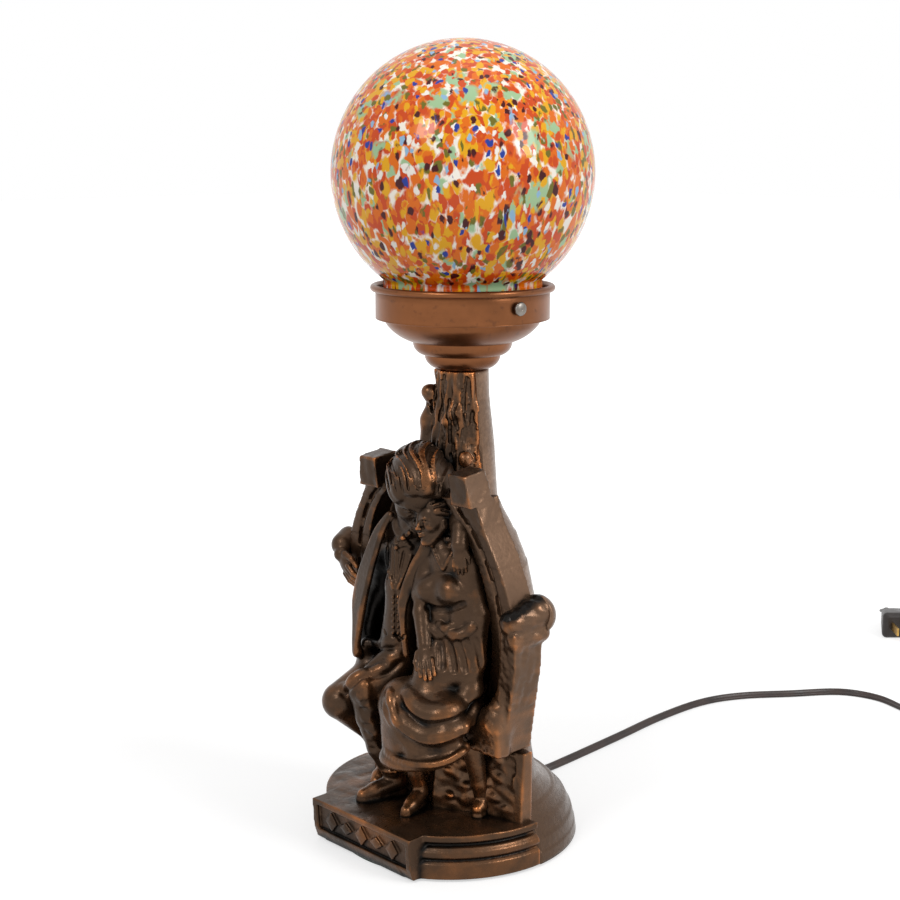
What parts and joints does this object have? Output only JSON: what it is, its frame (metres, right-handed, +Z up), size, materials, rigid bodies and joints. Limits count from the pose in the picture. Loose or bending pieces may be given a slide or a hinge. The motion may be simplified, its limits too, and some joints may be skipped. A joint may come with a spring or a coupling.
{
  "type": "figural table lamp",
  "caption": "Cast figural table lamp: a couple seated on a bench inside an upright horseshoe, a bark trunk, a stepped copper cup and a flecked glass ball globe, with corded plug.",
  "frame": {"origin": "on the lamp's axis at the table", "axes": "+Z up the trunk, -Y to the front with the plaque, +X to the viewer's right"},
  "size_m": [0.2669, 0.6978, 0.4732],
  "materials": {
    "cast_bronze": "dark brown patina, worn to copper on the high places",
    "rear_bronze": "brown patina, smooth",
    "copper": "satin spun copper",
    "steel": "plain",
    "brass": "plain",
    "board": "fibre board",
    "felt": "felt",
    "insulator": "matt",
    "bulb_glass": "frosted",
    "globe_glass": "cased glass with coloured flecks",
    "switch_wheel": "satin",
    "cord": "smooth",
    "dark_plastic": "satin"
  },
  "bodies": {
    "lamp": {"plinth": "cast_bronze", "bench": "cast_bronze", "horseshoe": "cast_bronze", "man_figure": "cast_bronze", "man_right_arm": "cast_bronze", "woman_figure": "cast_bronze", "tree_trunk": "cast_bronze", "rear_shell": "rear_bronze", "lamp_pipe": "steel", "base_washer": "steel", "base_nut": "steel", "base_plate": "board", "felt_pad": "felt", "cord_bushing": "dark_plastic", "fitter": "copper", "fitter_nut": "steel", "socket_cap": "brass", "socket_shell": "brass", "socket_body": "insulator", "screw_shell": "brass", "centre_contact": "brass", "inner_lead": "cord", "cord_lead": "cord", "cord_coil": "cord", "cord_tie": "cord", "cord_tail": "cord", "switch_base": "dark_plastic", "switch_cover": "dark_plastic", "plug_lead": "cord", "plug_body": "dark_plastic", "plug_blades": "brass"},
    "globe": {"globe": "globe_glass"},
    "bulb": {"bulb_glass": "bulb_glass", "bulb_base": "steel", "bulb_tip": "steel"},
    "screw_1": {"thumbscrew_1": "steel"},
    "screw_2": {"thumbscrew_2": "steel"},
    "screw_3": {"thumbscrew_3": "steel"},
    "wheel": {"switch_wheel": "switch_wheel"}
  },
  "joints": [
    {"name": "globe_lift", "type": "slide", "parent": "lamp", "child": "globe", "axis": [0, 0, 1], "range_m": [0, 0.16]},
    {"name": "bulb_turn", "type": "hinge", "parent": "lamp", "child": "bulb", "pos_m": [0, 0, 0.335], "axis": [0, 0, 1], "range_deg": [0, 1260]},
    {"name": "screw_1_turn", "type": "hinge", "parent": "lamp", "child": "screw_1", "pos_m": [0.05062, -0.00622, 0.3235], "axis": [0.9925, -0.1219, 0], "range_deg": [0, 1080]},
    {"name": "screw_2_turn", "type": "hinge", "parent": "lamp", "child": "screw_2", "pos_m": [-0.01147, 0.04969, 0.3235], "axis": [-0.225, 0.9744, 0], "range_deg": [0, 1080]},
    {"name": "screw_3_turn", "type": "hinge", "parent": "lamp", "child": "screw_3", "pos_m": [-0.0485, -0.01576, 0.3235], "axis": [-0.9511, -0.309, 0], "range_deg": [0, 1080]},
    {"name": "wheel_turn", "type": "hinge", "parent": "lamp", "child": "wheel", "pos_m": [0.1764, 0.484, 0.008], "axis": [0, 0, 1], "continuous": true}
  ]
}
